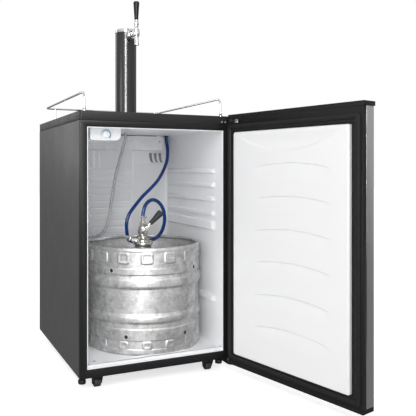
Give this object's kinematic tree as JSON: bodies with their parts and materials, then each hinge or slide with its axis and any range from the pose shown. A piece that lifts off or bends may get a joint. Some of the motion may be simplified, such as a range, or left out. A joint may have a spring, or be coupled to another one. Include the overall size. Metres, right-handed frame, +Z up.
{
  "type": "kegerator",
  "caption": "Free-standing keg cooler on casters: hinged door, draft tower with faucet, guard rail, drip tray, pony keg with coupler and hoses inside.",
  "frame": {"origin": "on the floor under the middle of the box, with the door open as at rest", "axes": "+Z up, +Y towards the back of the cabinet, +X to the right as seen from the front"},
  "size_m": [0.6616, 1.1168, 1.25],
  "materials": {
    "painted_steel": "dark charcoal enamel with a fine texture",
    "worktop_black": "black, satin",
    "white_plastic": "white, low gloss",
    "black_plastic": "black, satin moulded",
    "tower_black": "black gloss coating",
    "chrome": "polished chrome",
    "stainless": "brushed",
    "keg_steel": "satin, mottled with wear",
    "zinc_steel": "zinc plated",
    "rubber": "matt black",
    "foam": "rigid foam, hidden",
    "blue_hose": "blue flexible hose",
    "clear_hose": "translucent flexible hose"
  },
  "bodies": {
    "cabinet": {"cabinet_shell": "painted_steel", "back_panel": "painted_steel", "compressor": "painted_steel", "bottom_hinge_bracket": "painted_steel", "worktop": "worktop_black", "inner_liner": "white_plastic", "thermostat_housing": "white_plastic", "evaporator_cover": "white_plastic", "vent_grille": "white_plastic", "power_inlet": "black_plastic", "tower_column": "tower_black", "guard_rail": "chrome", "tower_flange": "chrome", "tower_cap": "chrome", "faucet_shank": "chrome", "shank_collar": "chrome", "coupling_nut": "chrome", "faucet_body": "chrome", "coupler_body": "chrome", "coupler_outlet": "chrome", "keg_valve": "stainless", "keg_body": "keg_steel", "keg_top_chime": "keg_steel", "keg_bottom_chime": "keg_steel", "base_plate": "zinc_steel", "shank_nut": "zinc_steel", "top_hinge_bracket": "zinc_steel", "line_grommet": "rubber", "insulation_foam": "foam", "blue_hose": "blue_hose", "clear_hose": "clear_hose"},
    "door": {"door_skin": "stainless", "door_foam": "foam", "door_rim": "black_plastic", "door_liner": "white_plastic", "door_gasket": "rubber", "door_top_cap": "black_plastic", "door_bottom_cap": "black_plastic", "strike_plate": "stainless"},
    "tap": {"faucet_lever": "chrome", "tap_handle": "black_plastic"},
    "faucet_shaft": {"faucet_shaft": "stainless"},
    "thermostat_knob": {"thermostat_knob": "white_plastic"},
    "coupler_lever": {"coupler_lever": "chrome", "coupler_grip": "black_plastic"},
    "coupler_probe": {"coupler_probe": "stainless"},
    "fan_rotor": {"fan_rotor": "black_plastic"},
    "drip_tray": {"drip_tray": "black_plastic"},
    "drip_grate": {"drip_grate": "stainless"},
    "levelling_foot_1": {"levelling_foot_1": "black_plastic"},
    "levelling_foot_2": {"levelling_foot_2": "black_plastic"},
    "caster_front_left": {"caster_front_left_fork": "black_plastic"},
    "wheel_front_left": {"caster_front_left_wheel": "rubber"},
    "caster_front_right": {"caster_front_right_fork": "black_plastic"},
    "wheel_front_right": {"caster_front_right_wheel": "rubber"},
    "caster_rear_left": {"caster_rear_left_fork": "black_plastic"},
    "wheel_rear_left": {"caster_rear_left_wheel": "rubber"},
    "caster_rear_right": {"caster_rear_right_fork": "black_plastic"},
    "wheel_rear_right": {"caster_rear_right_wheel": "rubber"}
  },
  "joints": [
    {"name": "door_hinge", "type": "hinge", "parent": "cabinet", "child": "door", "pos_m": [0.1752, -0.06063, 0.438], "axis": [0, 0, 1], "range_deg": [-103.25, 17]},
    {"name": "tap_lever", "type": "hinge", "parent": "cabinet", "child": "tap", "pos_m": [-0.0758, 0.15837, 1.152], "axis": [1, 0, 0], "range_deg": [0, 25]},
    {"name": "faucet_shaft_slide", "type": "slide", "parent": "cabinet", "child": "faucet_shaft", "axis": [0, 1, 0], "range_m": [0, 0.0036]},
    {"name": "thermostat_dial", "type": "hinge", "parent": "cabinet", "child": "thermostat_knob", "pos_m": [-0.2398, -0.01663, 0.775], "axis": [0, -1, 0], "range_deg": [0, 270]},
    {"name": "coupler_lever_hinge", "type": "hinge", "parent": "cabinet", "child": "coupler_lever", "pos_m": [-0.0488, 0.16537, 0.451], "axis": [0.2079, 0.9781, 0], "range_deg": [0, 60]},
    {"name": "coupler_probe_slide", "type": "slide", "parent": "cabinet", "child": "coupler_probe", "axis": [0, 0, -1], "range_m": [0, 0.0125]},
    {"name": "fan_spin", "type": "hinge", "parent": "cabinet", "child": "fan_rotor", "pos_m": [0.1032, 0.42637, 0.7145], "axis": [0, -1, 0], "continuous": true},
    {"name": "drip_tray_lift", "type": "slide", "parent": "cabinet", "child": "drip_tray", "axis": [0, 0, 1], "range_m": [0, 0.12]},
    {"name": "drip_grate_lift", "type": "slide", "parent": "drip_tray", "child": "drip_grate", "axis": [0, 0, 1], "range_m": [0, 0.08]},
    {"name": "levelling_screw_1", "type": "slide", "parent": "cabinet", "child": "levelling_foot_1", "axis": [0, 0, -1], "range_m": [0, 0.016]},
    {"name": "levelling_screw_2", "type": "slide", "parent": "cabinet", "child": "levelling_foot_2", "axis": [0, 0, -1], "range_m": [0, 0.016]},
    {"name": "swivel_front_left", "type": "hinge", "parent": "cabinet", "child": "caster_front_left", "pos_m": [-0.2678, -0.01163, 0.036], "axis": [0, 0, 1], "continuous": true},
    {"name": "roll_front_left", "type": "hinge", "parent": "caster_front_left", "child": "wheel_front_left", "pos_m": [-0.2678, -0.00563, 0.014], "axis": [1, 0, 0], "continuous": true},
    {"name": "swivel_front_right", "type": "hinge", "parent": "cabinet", "child": "caster_front_right", "pos_m": [0.1142, -0.01163, 0.036], "axis": [0, 0, 1], "continuous": true},
    {"name": "roll_front_right", "type": "hinge", "parent": "caster_front_right", "child": "wheel_front_right", "pos_m": [0.1142, -0.00563, 0.014], "axis": [1, 0, 0], "continuous": true},
    {"name": "swivel_rear_left", "type": "hinge", "parent": "cabinet", "child": "caster_rear_left", "pos_m": [-0.2678, 0.50337, 0.036], "axis": [0, 0, 1], "continuous": true},
    {"name": "roll_rear_left", "type": "hinge", "parent": "caster_rear_left", "child": "wheel_rear_left", "pos_m": [-0.2678, 0.50937, 0.014], "axis": [1, 0, 0], "continuous": true},
    {"name": "swivel_rear_right", "type": "hinge", "parent": "cabinet", "child": "caster_rear_right", "pos_m": [0.1142, 0.50337, 0.036], "axis": [0, 0, 1], "continuous": true},
    {"name": "roll_rear_right", "type": "hinge", "parent": "caster_rear_right", "child": "wheel_rear_right", "pos_m": [0.1142, 0.50937, 0.014], "axis": [1, 0, 0], "continuous": true}
  ],
  "couplings": [
    {"joint": "faucet_shaft_slide", "follows": "tap_lever", "m_per_rad": 0.008},
    {"joint": "coupler_probe_slide", "follows": "coupler_lever_hinge", "m_per_rad": 0.0115}
  ]
}
